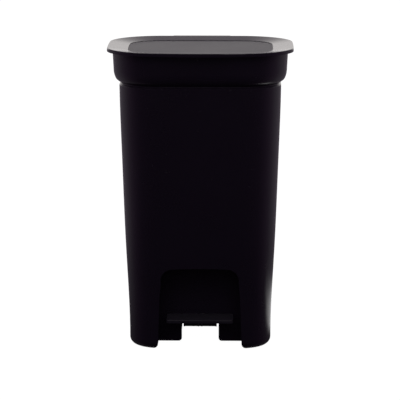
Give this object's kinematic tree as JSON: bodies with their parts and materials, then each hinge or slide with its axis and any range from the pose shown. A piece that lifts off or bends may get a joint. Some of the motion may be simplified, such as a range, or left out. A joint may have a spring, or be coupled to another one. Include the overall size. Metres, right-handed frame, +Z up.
{
  "type": "pedal trash can",
  "caption": "Tall tapered pedal bin with a dished hinged lid, a toe recess with a foot pedal, and a lift rod behind that swings the lid open.",
  "frame": {"origin": "on the floor, under the middle of the lid's outline", "axes": "+Z up; +X to the right seen from the front; -Y is the front, the pedal side"},
  "size_m": [0.394, 0.346, 0.64],
  "materials": {
    "bin_plastic": "black moulded polypropylene with a soft sheen",
    "lid_plastic": "black moulded polypropylene, smoother than the bin",
    "pedal_plastic": "black moulded plastic, slightly worn",
    "hinge_plastic": "black glass-filled plastic",
    "nylon": "natural nylon",
    "steel": "zinc-plated steel",
    "rubber": "black rubber"
  },
  "bodies": {
    "bin": {"body_shell": "bin_plastic", "toe_recess": "bin_plastic", "rod_channel": "bin_plastic", "pedal_cradle": "hinge_plastic", "cradle_screws": "steel", "hinge_bracket": "hinge_plastic", "hinge_pin": "steel", "hinge_pin_caps": "hinge_plastic", "bracket_screws": "steel", "rod_guide_lower": "nylon", "rod_guide_upper": "nylon", "rear_cover": "bin_plastic", "cover_screws": "steel", "axle_bush_left": "nylon", "axle_bush_right": "nylon", "pivot_axle": "steel", "axle_clips": "steel", "foot_pads": "rubber"},
    "lid": {"lid": "lid_plastic", "lid_bumpers": "rubber", "hinge_leaf": "hinge_plastic", "leaf_screws": "steel"},
    "rod": {"lift_rod": "steel", "rod_push_nuts": "steel"},
    "pedal": {"pedal_lever": "pedal_plastic", "pedal_tread": "pedal_plastic", "tread_screws": "steel"}
  },
  "joints": [
    {"name": "lid_hinge", "type": "hinge", "parent": "bin", "child": "lid", "pos_m": [0, 0.16, 0.626], "axis": [-1, 0, 0], "range_deg": [0, 80]},
    {"name": "rod_slide", "type": "slide", "parent": "bin", "child": "rod", "axis": [0, 0, 1], "range_m": [0, 0.0277]},
    {"name": "pedal_pivot", "type": "hinge", "parent": "bin", "child": "pedal", "pos_m": [0, 0.025, 0.05], "axis": [1, 0, 0], "range_deg": [0, 13.33]}
  ],
  "couplings": [
    {"joint": "rod_slide", "follows": "lid_hinge", "m_per_rad": 0.019832},
    {"joint": "pedal_pivot", "follows": "lid_hinge", "ratio": 0.1666}
  ]
}
